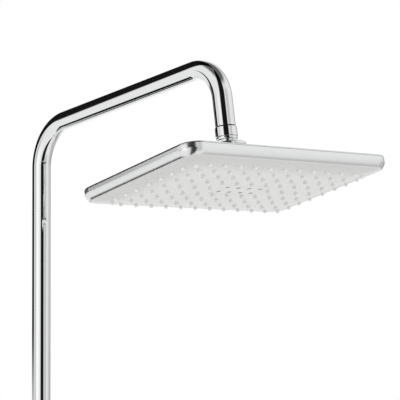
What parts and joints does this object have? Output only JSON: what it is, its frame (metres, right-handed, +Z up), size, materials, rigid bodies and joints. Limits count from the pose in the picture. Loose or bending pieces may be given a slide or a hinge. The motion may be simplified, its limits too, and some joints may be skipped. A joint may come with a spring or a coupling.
{
  "type": "shower panel column",
  "caption": "Wall-mounted shower column: bent riser pipe with a rectangular overhead shower on a ball joint, over a thermostatic bar mixer.",
  "frame": {"origin": "on the wall face, midway between the axes of the two wall inlet threads", "axes": "X along the wall, +Y into the wall, +Z up the riser"},
  "size_m": [0.291, 0.5077, 1.1789],
  "materials": {
    "chromed_brass": "mirror chrome plate on brass",
    "chromed_plastic": "mirror chrome plate on ABS",
    "spray_face": "pale grey, satin",
    "nozzle_silicone": "pale silicone, matt",
    "black_rubber": "matt",
    "pale_acetal": "moulded",
    "bare_brass": "turned",
    "dark_plastic": "moulded",
    "stainless_steel": "plain",
    "button_red": "gloss"
  },
  "bodies": {
    "wall_frame": {"bracket_flange": "chromed_brass", "bracket_arm": "chromed_brass", "bracket_grub_screw": "stainless_steel", "riser_bushing": "pale_acetal", "mixer_body": "chromed_brass", "riser_spigot": "bare_brass", "spigot_o_rings": "black_rubber", "riser_union_nut": "chromed_brass", "hose_outlet": "chromed_brass", "thermostat_cartridge": "dark_plastic", "thermostat_cartridge_nut": "bare_brass", "temperature_stop_ring": "pale_acetal", "flow_cartridge": "dark_plastic", "flow_cartridge_nut": "bare_brass", "flow_stop_ring": "pale_acetal", "hot_eccentric_union": "bare_brass", "hot_inlet_washer": "black_rubber", "hot_union_nut": "chromed_brass", "hot_check_valve": "pale_acetal", "hot_rose": "chromed_brass", "cold_eccentric_union": "bare_brass", "cold_inlet_washer": "black_rubber", "cold_union_nut": "chromed_brass", "cold_check_valve": "pale_acetal", "cold_rose": "chromed_brass"},
    "riser": {"riser_arm_pipe": "chromed_brass", "pipe_foot_ring": "chromed_brass", "arm_end_fitting": "chromed_brass"},
    "ball_joint": {"ball_joint_nut": "chromed_brass", "ball_stem": "chromed_brass", "stem_washer": "black_rubber", "filter_screen": "stainless_steel", "flow_limiter": "pale_acetal"},
    "seat": {"ball_seat": "pale_acetal"},
    "head": {"head_rim": "chromed_plastic", "head_back": "chromed_plastic", "socket_cup": "pale_acetal", "ball_retainer": "chromed_plastic", "ball_seal": "black_rubber", "spray_plate": "spray_face", "nozzle_mat": "nozzle_silicone", "water_tray": "pale_acetal", "chamber_seal": "black_rubber", "chamber_screws": "stainless_steel", "air_insert": "spray_face"},
    "temperature_control": {"temperature_handle": "chromed_plastic", "thermostat_spindle": "bare_brass", "temperature_handle_screw": "stainless_steel", "temperature_handle_cap": "chromed_plastic", "button_spring": "stainless_steel"},
    "safety_button": {"safety_button": "button_red"},
    "flow_control": {"flow_handle": "chromed_plastic", "flow_spindle": "bare_brass", "flow_handle_screw": "stainless_steel", "flow_handle_cap": "chromed_plastic"}
  },
  "joints": [
    {"name": "riser_swivel", "type": "hinge", "parent": "wall_frame", "child": "riser", "pos_m": [0, -0.062, 0.6], "axis": [0, 0, 1], "range_deg": [-60, 60]},
    {"name": "head_swivel", "type": "hinge", "parent": "riser", "child": "ball_joint", "pos_m": [0, -0.39076, 1.04386], "axis": [0, 0.1564, 0.9877], "continuous": true},
    {"name": "head_side_tilt", "type": "hinge", "parent": "ball_joint", "child": "seat", "pos_m": [0, -0.39076, 1.04386], "axis": [0, 0.9877, -0.1564], "range_deg": [-10, 10]},
    {"name": "head_tilt", "type": "hinge", "parent": "seat", "child": "head", "pos_m": [0, -0.39076, 1.04386], "axis": [1, 0, 0], "range_deg": [-7.5, 16.5]},
    {"name": "temperature_turn", "type": "hinge", "parent": "wall_frame", "child": "temperature_control", "pos_m": [0.11, -0.062, 0.008], "axis": [1, 0, 0], "range_deg": [-180, 75]},
    {"name": "button_press", "type": "slide", "parent": "temperature_control", "child": "safety_button", "axis": [0, 0, -1], "range_m": [0, 0.0022], "stiffness_N_per_m": 900, "springref_m": -0.0008, "deforming": ["button_spring"]},
    {"name": "flow_turn", "type": "hinge", "parent": "wall_frame", "child": "flow_control", "pos_m": [-0.11, -0.062, 0.008], "axis": [1, 0, 0], "range_deg": [-90, 90]}
  ]
}
